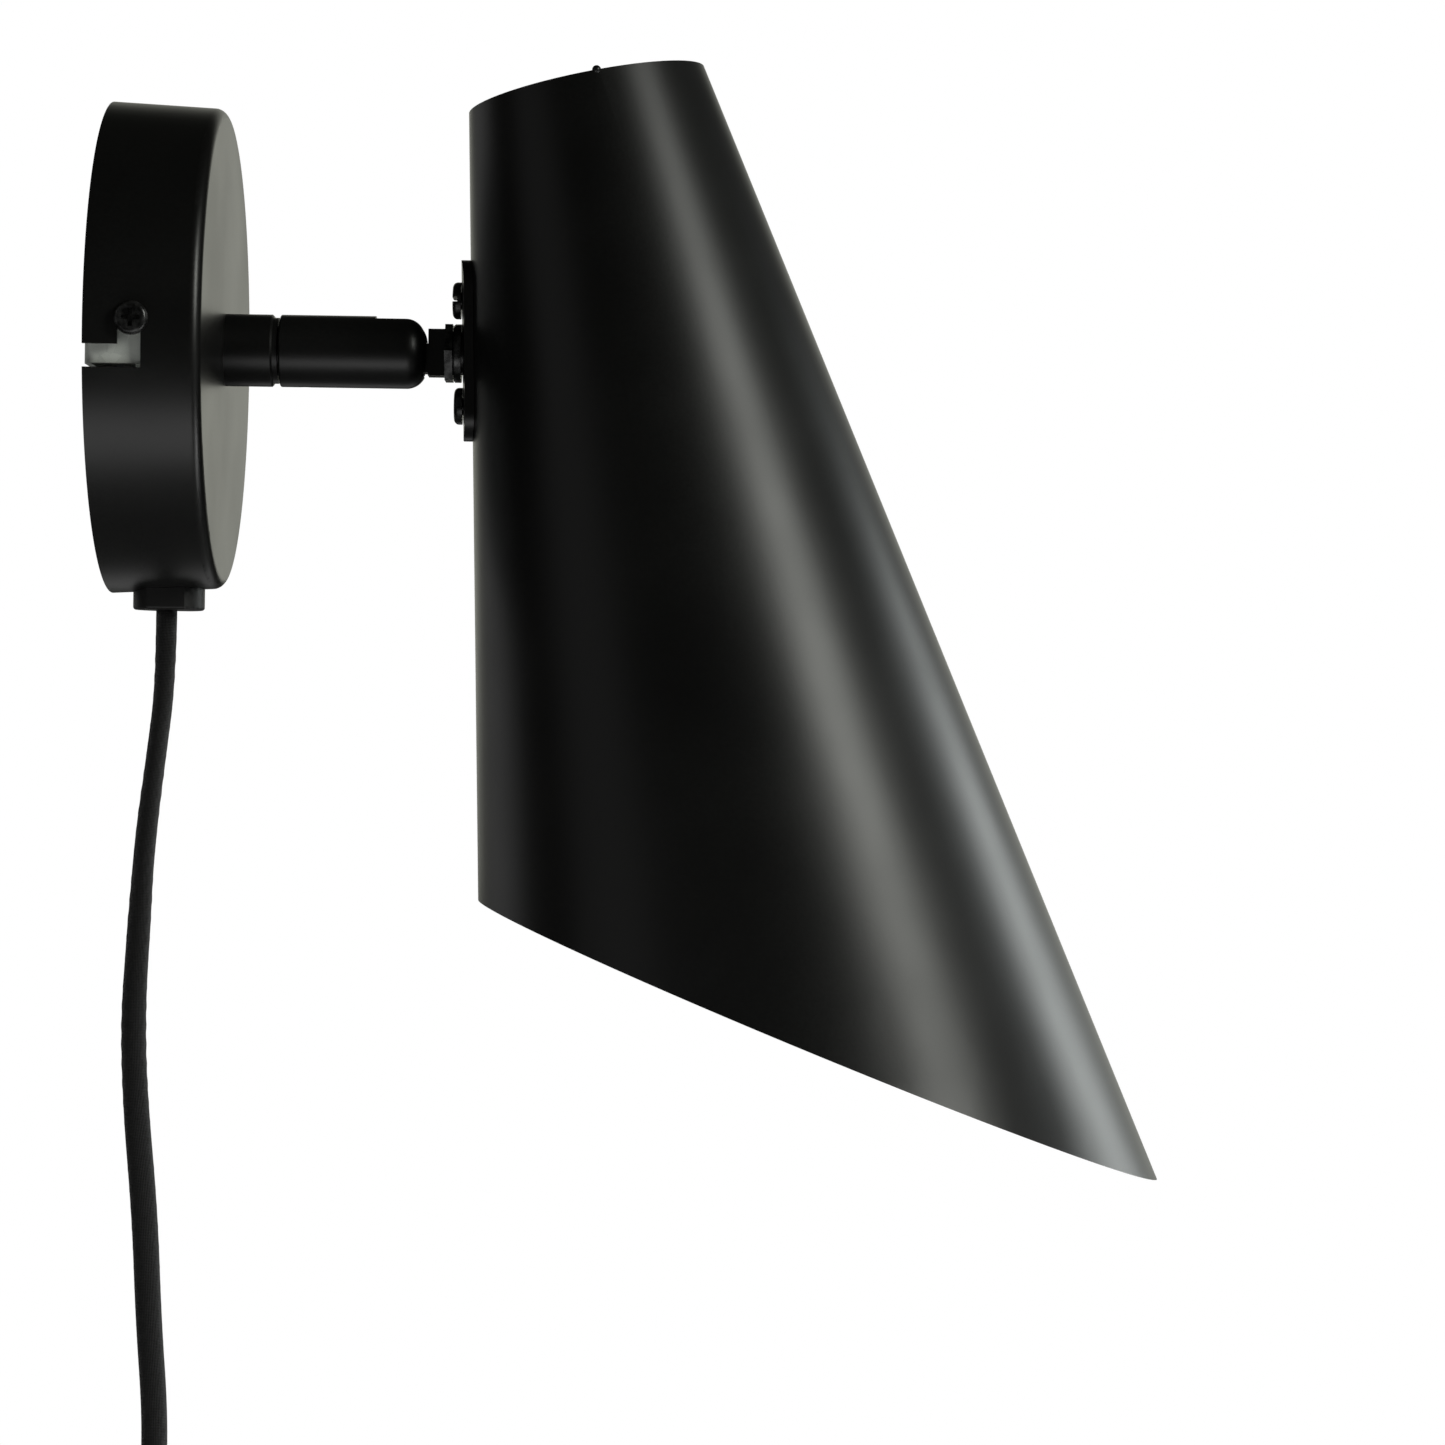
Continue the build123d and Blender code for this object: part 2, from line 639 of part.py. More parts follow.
leg_inside = SHEET + LEG_THICK + 0.15
shade_screws = []
shade_nuts = []
for side, recess in ((-1, UPRIGHT_SLOT), (1, LEVEL_SLOT)):
    z = side * PLATE_SCREW_Z
    seat = (shade_back_x(z) - PLATE_THICK - 0.15, 0, z)
    shade_screws.append(pan_screw(seat, (1, 0, 0), 4.2, 1.9, M4_R, 10.0, recess))
    inside = Plane.YZ.offset(shade_back_x(z) + leg_inside + 0.4)
    shade_nuts.append(hex_nut(inside.shift_origin((inside.origin.X, 0, z)), 7.0, 3.0, M4_R + 0.05))
export(Compound(shade_screws), "shade_screws")
export(Compound(shade_nuts), "shade_nuts")
stud_nut_seat = Plane.YZ.offset(shade_back_x(0) + leg_inside + 1.1)
export(hex_nut(stud_nut_seat, 14.0, 3.0, M10_R + 0.05), "stud_nut")

# ---------------------------------------------------------------- lamp holder
holder = on_shade(
    (M10_R + 0.1, HOLDER_TOP),
    (8.0, HOLDER_TOP),
    (12.0, HOLDER_TOP + 2.5),
    (HOLDER_R - 0.6, HOLDER_TOP + 8.0),
    (HOLDER_R - 0.6, HOLDER_TOP + 30.0),
    (HOLDER_R, HOLDER_TOP + 31.0),
    (HOLDER_R, HOLDER_END),
    (SHELL_R + 0.9, HOLDER_END),
    (SHELL_R + 0.9, LAMP_TIP - 5.0),
    (M10_R + 0.1, LAMP_TIP - 5.0),
)
with BuildPart() as lamp_holder:
    add(holder)
    side_hole = Plane(origin=APEX + DOWN_AXIS * WIRE_ENTRY, z_dir=-ACROSS)
    with BuildSketch(side_hole):
        Circle(3.3)
    extrude(amount=HOLDER_R, mode=Mode.SUBTRACT)
export(lamp_holder.part, "lamp_holder")
holder_nipple = on_shade(
    (M10_BORE_R, ARM_AT - 6),
    (M10_R, ARM_AT - 6),
    (M10_R, HOLDER_TOP + 8),
    (M10_BORE_R, HOLDER_TOP + 8),
)
export(holder_nipple, "holder_nipple")
export(hex_nut(ALONG.offset(ARM_AT - 3.1), 14.0, 3.0, M10_R + 0.05), "holder_nut")
holder_shell = on_shade(
    (SHELL_R, LAMP_TIP),
    (SHELL_R + 0.8, LAMP_TIP),
    (SHELL_R + 0.8, HOLDER_END - 1),
    (SHELL_R, HOLDER_END - 1),
)
export(holder_shell, "holder_shell")
holder_contact = on_shade(
    (0, LAMP_TIP - 2.5),
    (3.5, LAMP_TIP - 2.5),
    (3.5, LAMP_TIP - 1.2),
    (0, LAMP_TIP - 1.2),
)
export(holder_contact, "holder_contact")

# two wires from the hollow stud to the holder
entry = APEX + DOWN_AXIS * WIRE_ENTRY - ACROSS * (HOLDER_R - 4)
holder_wires = []
for colour, side in (("brown", -1), ("blue", 1)):
    y = side * WIRE_R * 1.2
    route = [(STUD_END - 8, y, 0), (STUD_END + 6, y, 0), (entry.X, y, entry.Z)]
    holder_wires.append(pipe(route, 5.0, WIRE_R, colour + " holder wire"))
export(Compound(holder_wires), "holder_wires")

# ---------------------------------------------------------------- lamp
lamp_cap = on_shade(
    (0, LAMP_TIP - 0.8),
    (2.4, LAMP_TIP - 0.8),
    (3.0, LAMP_TIP + 1.0),
    (SHELL_R - 0.3, LAMP_TIP + 3.0),
    (SHELL_R - 0.3, LAMP_COLLAR),
    (0, LAMP_COLLAR),
)
export(lamp_cap, "lamp_cap")
globe_seat = GLOBE_AT - (GLOBE_R**2 - GLOBE_NECK_R**2) ** 0.5
lamp_collar = on_shade(
    (0, LAMP_COLLAR + 0.03),
    (9.5, LAMP_COLLAR + 6),
    (GLOBE_NECK_R + 0.4, globe_seat - 2),
    (GLOBE_NECK_R + 0.4, globe_seat - 0.03),
    (0, globe_seat - 0.03),
)
export(lamp_collar, "lamp_collar")
with BuildPart() as lamp_globe:
    with Locations(APEX + DOWN_AXIS * GLOBE_AT):
        Sphere(GLOBE_R)
        Sphere(GLOBE_R - GLOBE_WALL, mode=Mode.SUBTRACT)
    split(bisect_by=ALONG.offset(globe_seat), keep=Keep.TOP)
export(lamp_globe.part, "lamp_globe")

# ---------------------------------------------------------------- cord, with its switch, coil and plug
SWITCH_LOW = SWITCH_TOP - SWITCH_LONG
CORD_ROUTE = [
    (CORD_X, 0, GLAND_LOW),
    (12.5, 0, -76.0),
    (10.6, 0, -92.5),
    (8.3, 0, -112.0),
    (7.2, 0, -132.0),
    (6.2, 0, -152.0),
    (7.0, 0, -171.0),
    (9.6, 0, -197.0),
    (10.8, 0, -221.0),
    (CORD_X, 0, -241.0),
    (CORD_X, 0, SWITCH_TOP),
]
LOWER_ROUTE = [(CORD_X, 0, SWITCH_LOW), (CORD_X, 0, -325.0), (12.8, 0, -341.0)]
TAIL_ROUTE = [(TAIL_X, 0.4, -367.0), (TAIL_X, 0, -376.0), (TAIL_X, 0, PLUG_TOP)]
for name, points in (("cord_run", CORD_ROUTE), ("cord_lower", LOWER_ROUTE), ("cord_tail", TAIL_ROUTE)):
    bends = arc_radii(points)
    print(name, "radii", [round(bend) for bend in bends])
    export(pipe(points, bends, CORD_R, name), name)

COIL_CENTRE = (COIL_X, COIL_Y, COIL_Z)
COIL_AXIS = Axis(COIL_CENTRE, (1, 0, 0))
with BuildPart() as cord_coil:
    with BuildSketch(Plane.XY.offset(COIL_Z)):
        with Locations((COIL_X, COIL_Y + COIL_R)):
            RectangleRounded(COIL_BUNDLE, COIL_BUNDLE, CORD_R)
    revolve(axis=COIL_AXIS)
export(cord_coil.part, "cord_coil")

with BuildPart() as cord_tie:
    along_coil = (0, sin(radians(TIE_START)), -cos(radians(TIE_START)))
    with BuildSketch(Plane(origin=COIL_CENTRE, x_dir=(1, 0, 0), z_dir=along_coil)):
        with Locations((0, -COIL_R)):
            inner = COIL_BUNDLE + 0.1
            outer = inner + 2 * TIE_THICK
            RectangleRounded(outer, outer, CORD_R + TIE_THICK)
            RectangleRounded(inner, inner, CORD_R, mode=Mode.SUBTRACT)
    revolve(axis=COIL_AXIS, revolution_arc=TIE_ARC)
export(cord_tie.part, "cord_tie")

# The switch has a back and a front shell, and a rocker on two stub axles.
SWITCH_MID_Z = (SWITCH_TOP + SWITCH_LOW) / 2
SWITCH_BACK = CORD_X - SWITCH_THICK / 2
ROCKER_X = CORD_X + SWITCH_THICK / 2 - 1.5
SWITCH_SCREW_SPOTS = [(9.0, SWITCH_TOP - 8.5), (-9.0, SWITCH_LOW + 8.5)]
switch_halves = {}
for name, start, amount, outer in (
    ("switch_back", CORD_X, -SWITCH_THICK / 2, 0),
    ("switch_front", CORD_X + 0.05, SWITCH_THICK / 2, -1),
):
    with BuildPart() as half:
        with BuildSketch(Plane.YZ.offset(start)):
            with Locations((0, SWITCH_MID_Z)):
                RectangleRounded(SWITCH_WIDE, SWITCH_LONG, 9.0)
        extrude(amount=amount)
        fillet(half.edges().group_by(Axis.X)[outer], 3.0)
        with BuildSketch(Plane.YZ.offset(start)):
            with Locations((0, SWITCH_MID_Z)):
                RectangleRounded(SWITCH_WIDE - 5, SWITCH_LONG - 16, 3.0)
        extrude(amount=amount * 0.6, mode=Mode.SUBTRACT)
        if name == "switch_back":
            with BuildSketch(Plane.YZ.offset(SWITCH_BACK)):
                with Locations(*SWITCH_SCREW_SPOTS):
                    Circle(2.5)
            extrude(amount=1.3, mode=Mode.SUBTRACT)
            with BuildSketch(Plane.YZ.offset(SWITCH_BACK)):
                with Locations(*SWITCH_SCREW_SPOTS):
                    Circle(1.25)
            extrude(amount=SWITCH_THICK / 2, mode=Mode.SUBTRACT)
        else:
            with BuildSketch(Plane.YZ.offset(start)):
                with Locations((0, SWITCH_MID_Z)):
                    Rectangle(2 * (ROCKER_HALF_WIDE + GAP), 2 * (ROCKER_HALF + 0.8))
            extrude(amount=SWITCH_THICK, mode=Mode.SUBTRACT)
            with BuildSketch(Plane.XZ.offset(-ROCKER_HALF_WIDE - 2)):
                with Locations((ROCKER_X, SWITCH_MID_Z)):
                    Circle(1.05)
            extrude(amount=2 * ROCKER_HALF_WIDE + 4, mode=Mode.SUBTRACT)
    export(half.part, name)

with BuildPart() as switch_rocker:
    with BuildSketch(Plane.XZ.offset(-ROCKER_HALF_WIDE)):
        with Locations(Location((ROCKER_X, SWITCH_MID_Z, 0), (0, 0, ROCKER_TILT))):
            Polygon(
                (-2.6, -ROCKER_HALF + 0.6),
                (1.9, -ROCKER_HALF),
                (3.0, -ROCKER_HALF + 1.0),
                (1.8, 0),
                (3.0, ROCKER_HALF - 1.0),
                (1.9, ROCKER_HALF),
                (-2.6, ROCKER_HALF - 0.6),
                align=None,
            )
    extrude(amount=2 * ROCKER_HALF_WIDE)
    with BuildSketch(Plane.XZ.offset(-ROCKER_HALF_WIDE - 1.8)):
        with Locations((ROCKER_X, SWITCH_MID_Z)):
            Circle(1.0)
    extrude(amount=2 * ROCKER_HALF_WIDE + 3.6)
export(switch_rocker.part, "switch_rocker")

switch_screws = []
for y, z in SWITCH_SCREW_SPOTS:
    seat = (SWITCH_BACK + 1.25, y, z)
    switch_screws.append(pan_screw(seat, (1, 0, 0), 2.4, 1.2, 1.2, 6.5, CROSS_RECESS))
export(Compound(switch_screws), "switch_screws")

with BuildPart() as plug_body:
    with BuildSketch(Plane.XY.offset(PLUG_TOP)):
        with Locations((TAIL_X, 0)):
            Circle(CORD_R + 1.0)
    with BuildSketch(Plane.XY.offset(PLUG_TOP - PLUG_TAPER)):
        with Locations((TAIL_X, 0)):
            Circle(CORD_R + 2.8)
    loft()
    with BuildSketch(Plane.XY.offset(PLUG_TOP - PLUG_TAPER + 2)):
        with Locations((TAIL_X, 0)):
            RectangleRounded(12.0, 16.0, 4.0)
    with BuildSketch(Plane.XY.offset(PLUG_TOP - PLUG_TAPER - 14)):
        with Locations((TAIL_X, 0)):
            RectangleRounded(PLUG_THICK, PLUG_WIDE, 5.5)
    loft()
    with BuildSketch(Plane.XY.offset(PLUG_TOP - PLUG_TAPER - 14)):
        with Locations((TAIL_X, 0)):
            RectangleRounded(PLUG_THICK, PLUG_WIDE, 5.5)
    extrude(amount=-PLUG_LONG + 14)
    with BuildSketch(Plane.XY.offset(PLUG_TOP - PLUG_TAPER - PLUG_LONG)):
        with Locations((TAIL_X, -PIN_PITCH / 2), (TAIL_X, PIN_PITCH / 2)):
            Circle(PIN_R + 0.05)
    extrude(amount=5.0, mode=Mode.SUBTRACT)
export(plug_body.part, "plug_body")

with BuildPart() as plug_pins:
    with BuildSketch(Plane.XY.offset(PLUG_TOP - PLUG_TAPER - PLUG_LONG + 5)):
        with Locations((TAIL_X, -PIN_PITCH / 2), (TAIL_X, PIN_PITCH / 2)):
            Circle(PIN_R)
    extrude(amount=-PIN_LONG - 5)
    fillet(plug_pins.edges().group_by(Axis.Z)[0], 1.2)
export(plug_pins.part, "plug_pins")
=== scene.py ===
import json
from math import cos, pi, radians, sin, tau

import bpy
from mathutils import Matrix, Vector


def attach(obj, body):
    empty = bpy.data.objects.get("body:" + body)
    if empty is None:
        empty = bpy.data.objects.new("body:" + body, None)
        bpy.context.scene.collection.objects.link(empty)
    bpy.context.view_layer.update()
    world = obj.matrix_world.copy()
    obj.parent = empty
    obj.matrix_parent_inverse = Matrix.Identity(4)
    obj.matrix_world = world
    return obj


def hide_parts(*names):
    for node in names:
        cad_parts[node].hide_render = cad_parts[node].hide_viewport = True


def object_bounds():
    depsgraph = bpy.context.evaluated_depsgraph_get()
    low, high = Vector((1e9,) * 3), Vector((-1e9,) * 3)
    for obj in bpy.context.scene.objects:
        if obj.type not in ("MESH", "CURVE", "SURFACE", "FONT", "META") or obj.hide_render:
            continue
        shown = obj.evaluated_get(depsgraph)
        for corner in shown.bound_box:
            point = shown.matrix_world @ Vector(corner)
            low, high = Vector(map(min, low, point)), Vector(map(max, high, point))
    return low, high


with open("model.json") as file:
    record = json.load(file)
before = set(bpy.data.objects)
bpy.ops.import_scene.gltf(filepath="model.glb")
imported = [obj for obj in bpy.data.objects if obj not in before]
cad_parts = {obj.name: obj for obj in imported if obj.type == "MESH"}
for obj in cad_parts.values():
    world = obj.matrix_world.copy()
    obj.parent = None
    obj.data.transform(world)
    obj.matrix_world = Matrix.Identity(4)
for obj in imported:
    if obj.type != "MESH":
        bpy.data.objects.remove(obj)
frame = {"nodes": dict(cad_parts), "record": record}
cad_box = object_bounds()
nodes = frame["nodes"]
scene = bpy.context.scene

# ---------------------------------------------------------------- camera
CAMERA_AT = Vector((0.1284, -0.9709, -0.0900))
CAMERA_YAW = 0.01118
CAMERA_PITCH = 0.00706
CAMERA_ROLL = 0.01414
CAMERA_LENS = 106.22
SENSOR_WIDE = 36.0
NEAR_CLIP = 0.01


def make_camera():
    """Nearly square to the lamp's side; the angles, in radians, turn it from looking along +Y."""
    ahead = Vector((
        sin(CAMERA_YAW) * cos(CAMERA_PITCH),
        cos(CAMERA_YAW) * cos(CAMERA_PITCH),
        sin(CAMERA_PITCH),
    ))
    level = ahead.cross(Vector((0, 0, 1))).normalized()
    upright = level.cross(ahead)
    right = level * cos(CAMERA_ROLL) + upright * sin(CAMERA_ROLL)
    up = upright * cos(CAMERA_ROLL) - level * sin(CAMERA_ROLL)
    camera = bpy.data.objects.new("camera", bpy.data.cameras.new("camera"))
    camera.data.sensor_width = SENSOR_WIDE
    camera.data.lens = CAMERA_LENS
    camera.data.clip_start = NEAR_CLIP
    camera.matrix_world = Matrix.Translation(CAMERA_AT) @ Matrix((right, up, -ahead)).transposed().to_4x4()
    scene.collection.objects.link(camera)
    scene.camera = camera


make_camera()


# ---------------------------------------------------------------- mesh helpers
def piece_from(name, vertices, faces, smooth=True):
    """A new object with its mesh in the row frame."""
    mesh = bpy.data.meshes.new(name)
    mesh.from_pydata(vertices, [], faces)
    mesh.validate()
    mesh.polygons.foreach_set("use_smooth", [smooth] * len(mesh.polygons))
    piece = bpy.data.objects.new(name, mesh)
    scene.collection.objects.link(piece)
    return piece


def skin(rings):
    """Vertices and faces of a tube through rings of equal length, with capped ends."""
    count = len(rings[0])
    vertices = [point for ring in rings for point in ring]
    faces = []
    for row in range(len(rings) - 1):
        for column in range(count):
            here = row * count + column
            beside = row * count + (column + 1) % count
            faces.append((here, beside, beside + count, here + count))
    faces.append(tuple(range(count))[::-1])
    last = (len(rings) - 1) * count
    faces.append(tuple(range(last, last + count)))
    return vertices, faces


def superellipse(angle, half_x, half_y, squareness):
    """A point on an outline that is an ellipse at squareness 2, and squarer above it."""
    reach = (abs(cos(angle)) ** squareness + abs(sin(angle)) ** squareness) ** (-1 / squareness)
    return reach * cos(angle) * half_x, reach * sin(angle) * half_y


def ease(part):
    """From 0 to 1 with a level start and a level end."""
    return part * part * (3 - 2 * part)


def clamp(value):
    return max(0.0, min(1.0, value))


# ---------------------------------------------------------------- cord
# Wide and narrow are the oval section's two widths, and CORD_DIAMETER is the CAD tube's.
CORD_WIDE = 0.0061
CORD_NARROW = 0.0046
CORD_X = 0.0125
COIL_X = 0.0126
COIL_Y = -0.0368
COIL_Z = -0.352
COIL_R = 0.031
COIL_CELL = 0.0058
TURN_POINTS = 14
TAIL_X = 0.0183

CORD_ROUTE = [
    (CORD_X, 0, -0.0594),
    (CORD_X, 0, -0.076),
    (0.0106, 0, -0.0925),
    (0.0083, 0, -0.112),
    (0.0072, 0, -0.132),
    (0.0062, 0, -0.152),
    (0.0070, 0, -0.171),
    (0.0096, 0, -0.197),
    (0.0108, 0, -0.221),
    (CORD_X, 0, -0.241),
    (CORD_X, 0, -0.256),
]
THROUGH_SWITCH = [(CORD_X, 0, -0.274), (CORD_X, 0, -0.292)]
LOWER_ROUTE = [(CORD_X, 0, -0.310), (CORD_X, 0, -0.325), (0.0128, 0, -0.341)]
TAIL_ROUTE = [(TAIL_X, 0.0004, -0.367), (TAIL_X, 0, -0.376), (TAIL_X, 0, -0.386)]

# The bundle is three by three. The turns start in these cells (column, row), in this order.
COIL_CELLS = [(0, 1), (-1, 1), (-1, 0), (-1, -1), (0, -1), (1, -1), (0, 0), (1, 0), (1, 1)]
# The first turn's shift to the next cell is centred on this part of the turn. Each later turn's is a
# step earlier, and a shift takes SHIFT_SPREAD of a turn.
FIRST_SHIFT = 0.865
SHIFT_STEP = 0.105
SHIFT_SPREAD = 0.10
# The turns waver by this much, outwards and sideways, and each turn differs from the next.
WAVER = 0.00025
WAVER_OUT = (2, 1.7)
WAVER_SIDE = (3, 2.3)


def waver(waves_and_phase, angle, turn, part):
    """A small wave along a turn, which fades out at both of the turn's ends."""
    waves, phase = waves_and_phase
    return WAVER * sin(waves * angle + phase * turn) * sin(pi * part)


def coil_points():
    """Control points of eight turns. Each turn shifts to the next cell a little earlier on the ring
    than the turn before it, so that the cell is already free."""
    points = []
    turns = len(COIL_CELLS) - 1
    # the curve touches the middles of its control polygon's sides, so the controls stand further out
    outward = 1 / cos(pi / TURN_POINTS)
    for step in range(turns * TURN_POINTS + 1):
        turn = min(step // TURN_POINTS, turns - 1)
        part = step / TURN_POINTS - turn
        start = FIRST_SHIFT - SHIFT_STEP * turn - SHIFT_SPREAD / 2
        moved = clamp((part - start) / SHIFT_SPREAD)
        column = COIL_CELLS[turn][0] * (1 - moved) + COIL_CELLS[turn + 1][0] * moved
        row = COIL_CELLS[turn][1] * (1 - moved) + COIL_CELLS[turn + 1][1] * moved
        angle = -tau * part
        radius = (COIL_R + COIL_CELL * row) * outward
        radius += waver(WAVER_OUT, angle, turn, part)
        x = COIL_X + COIL_CELL * column + waver(WAVER_SIDE, angle, turn, part)
        points.append((x, COIL_Y + radius * cos(angle), COIL_Z + radius * sin(angle)))
    return points


CURVE_ORDER = 3
CURVE_STEPS = 21


def route_points():
    """Points along a smooth spline that has the cord's route as its controls."""
    controls = CORD_ROUTE + THROUGH_SWITCH + LOWER_ROUTE + coil_points() + TAIL_ROUTE
    curve = bpy.data.curves.new("route", "CURVE")
    curve.dimensions = "3D"
    spline = curve.splines.new("NURBS")
    spline.points.add(len(controls) - 1)
    for point, control in zip(spline.points, controls):
        point.co = (*control, 1)
    spline.order_u = CURVE_ORDER
    spline.use_endpoint_u = True
    spline.resolution_u = CURVE_STEPS
    holder = bpy.data.objects.new("route", curve)
    mesh = bpy.data.meshes.new_from_object(holder)
    points = [vertex.co.copy() for vertex in mesh.vertices]
    bpy.data.objects.remove(holder)
    bpy.data.curves.remove(curve)
    bpy.data.meshes.remove(mesh)
    return points


# (distance from the gland, how far the flex has twisted from broadside there, in degrees)
TWIST = [(0, 58), (0.027, 76), (0.055, 57), (0.076, 37), (0.100, 20), (0.131, 3), (0.185, 8), (0.26, 0)]
BRAID_COLUMNS = 32
BRAID_PICKS = 8
PICK_LONG = 0.0044
BRAID_HIGH = 0.00007


def twist_at(distance):
    """The flex's twist in radians, eased from one entry of the list to the next."""
    for (start, before), (end, after) in zip(TWIST, TWIST[1:]):
        if distance <= end:
            return radians(before + (after - before) * ease((distance - start) / (end - start)))
    return radians(TWIST[-1][1])


def make_cord():
    """The flex: two cores side by side under one braid, so it is oval. The braid's relief is in the
    mesh, and its UV layer counts turns round the cord and girths along it."""
    path = route_points()
    rings = []
    distances = []
    distance = 0.0
    for index, point in enumerate(path):
        before = path[max(index - 1, 0)]
        after = path[min(index + 1, len(path) - 1)]
        distance += (point - before).length
        along = (after - before).normalized()
        across = (Vector((1, 0, 0)) - along * along.x).normalized()
        beside = along.cross(across)
        turn = twist_at(distance)
        wide = across * cos(turn) + beside * sin(turn)
        narrow = beside * cos(turn) - across * sin(turn)
        ring = []
        for column in range(BRAID_COLUMNS):
            angle = tau * column / BRAID_COLUMNS
            swell = BRAID_HIGH * (cos(BRAID_PICKS * angle) * cos(tau * distance / PICK_LONG) - 1)
            half_wide = CORD_WIDE / 2 + swell
            half_narrow = CORD_NARROW / 2 + swell
            ring.append(point + wide * cos(angle) * half_wide + narrow * sin(angle) * half_narrow)
        rings.append(ring)
        distances.append(distance)
    cord = piece_from("textile_cord", *skin(rings))
    round_it = pi * (CORD_WIDE + CORD_NARROW) / 2
    layer = cord.data.uv_layers.new(name="braid")
    for polygon in cord.data.polygons:
        corners = [cord.data.loops[i].vertex_index for i in polygon.loop_indices]
        columns = [corner % BRAID_COLUMNS for corner in corners]
        wraps = max(columns) - min(columns) > BRAID_COLUMNS / 2
        for loop, corner, column in zip(polygon.loop_indices, corners, columns):
            if wraps and column < BRAID_COLUMNS / 2:
                column += BRAID_COLUMNS
            layer.data[loop].uv = (column / BRAID_COLUMNS, distances[corner // BRAID_COLUMNS] / round_it)
    return cord, path


# ---------------------------------------------------------------- procedural finishes
def add_node(tree, kind, **settings):
    node = tree.nodes.new(kind)
    for key, value in settings.items():
        setattr(node, key, value)
    return node


# most of a noise pattern lies between these values
PATTERN_LOW = 0.3
PATTERN_HIGH = 0.7


class Finish:
    """One procedural material round a Principled shader."""

    def __init__(self, name):
        self.material = bpy.data.materials.new(name)
        self.material.use_nodes = True
        self.tree = self.material.node_tree
        self.shader = self.tree.nodes["Principled BSDF"]
        self.place = self.add("ShaderNodeTexCoord").outputs["Object"]

    def add(self, kind, **settings):
        return add_node(self.tree, kind, **settings)

    def join(self, output, target):
        self.tree.links.new(output, target)

    def plain(self, **values):
        """Values that are the same all over, on the shader's own sockets."""
        for socket, value in values.items():
            self.shader.inputs[socket.replace("_", " ")].default_value = value
        return self

    def stretched(self, scale):
        """The place, scaled along each axis, so that a pattern can run along one of them."""
        mapping = self.add("ShaderNodeMapping")
        mapping.inputs["Scale"].default_value = scale
        self.join(self.place, mapping.inputs["Vector"])
        return mapping.outputs["Vector"]

    def noise(self, size, detail=3.0, rough=0.5, place=None):
        """Soft noise whose features are about this many metres across."""
        node = self.add("ShaderNodeTexNoise")
        node.inputs["Scale"].default_value = 1 / size
        node.inputs["Detail"].default_value = detail
        node.inputs["Roughness"].default_value = rough
        self.join(place or self.place, node.inputs["Vector"])
        return node.outputs["Fac"]

    def cells(self, size):
        """Flat cells of random brightness."""
        node = self.add("ShaderNodeTexVoronoi")
        node.inputs["Scale"].default_value = 1 / size
        self.join(self.place, node.inputs["Vector"])
        split = self.add("ShaderNodeSeparateColor")
        self.join(node.outputs["Color"], split.inputs["Color"])
        return split.outputs["Red"]

    def mix(self, a, b, how="ADD"):
        """One step of arithmetic between two outputs, or an output and a number."""
        node = self.add("ShaderNodeMath", operation=how)
        for socket, value in zip(node.inputs, (a, b)):
            if isinstance(value, (int, float)):
                socket.default_value = value
            else:
                self.join(value, socket)
        return node.outputs["Value"]

    def blend(self, first, second):
        """Two patterns added up, each a pair of an output and its share."""
        return self.mix(self.mix(*first, "MULTIPLY"), self.mix(*second, "MULTIPLY"))

    def colour(self, pattern, dark, light, low=PATTERN_LOW, high=PATTERN_HIGH):
        """The colour runs from dark to light as the pattern runs from low to high."""
        ramp = self.add("ShaderNodeValToRGB")
        ramp.color_ramp.elements[0].position = low
        ramp.color_ramp.elements[0].color = (*dark, 1)
        ramp.color_ramp.elements[1].position = high
        ramp.color_ramp.elements[1].color = (*light, 1)
        self.join(pattern, ramp.inputs["Fac"])
        self.join(ramp.outputs["Color"], self.shader.inputs["Base Color"])
        return self

    def roughness(self, pattern, low, high):
        """The roughness runs from low to high over the pattern's usual range."""
        spread = self.add("ShaderNodeMapRange")
        spread.inputs["From Min"].default_value = PATTERN_LOW
        spread.inputs["From Max"].default_value = PATTERN_HIGH
        spread.inputs["To Min"].default_value = low
        spread.inputs["To Max"].default_value = high
        self.join(pattern, spread.inputs["Value"])
        self.join(spread.outputs["Result"], self.shader.inputs["Roughness"])
        return self

    def bump(self, pattern, high):
        """Relief whose highest point stands this many metres proud."""
        node = self.add("ShaderNodeBump")
        node.inputs["Strength"].default_value = 1.0
        node.inputs["Distance"].default_value = high
        self.join(pattern, node.inputs["Height"])
        self.join(node.outputs["Normal"], self.shader.inputs["Normal"])
        return self


def grey(value):
    return (value, value, value)


def powder_coat():
    """Satin black powder coat: a faint orange peel, and a very slow drift in its sheen."""
    f = Finish("black_powder_coat").plain(Specular_IOR_Level=0.5)
    peel = f.noise(0.0007, detail=2.0)
    drift = f.noise(0.03, detail=2.0)
    sheen = f.blend((peel, 0.25), (drift, 0.75))
    f.colour(f.mix(peel, drift, "MULTIPLY"), grey(0.0035), (0.0070, 0.0071, 0.0068), low=0.1, high=0.5)
    f.roughness(sheen, 0.34, 0.39)
    return f.bump(peel, 0.000006)


def black_steel():
    """Blackened steel fasteners, oiled, with bright wear."""
    f = Finish("black_steel").plain(Metallic=0.6)
    grain = f.noise(0.0004, detail=4.0)
    worn = f.noise(0.0022, detail=3.0)
    f.colour(worn, grey(0.012), grey(0.09), low=0.42, high=0.72)
    f.roughness(grain, 0.22, 0.38)
    return f.bump(grain, 0.00001)


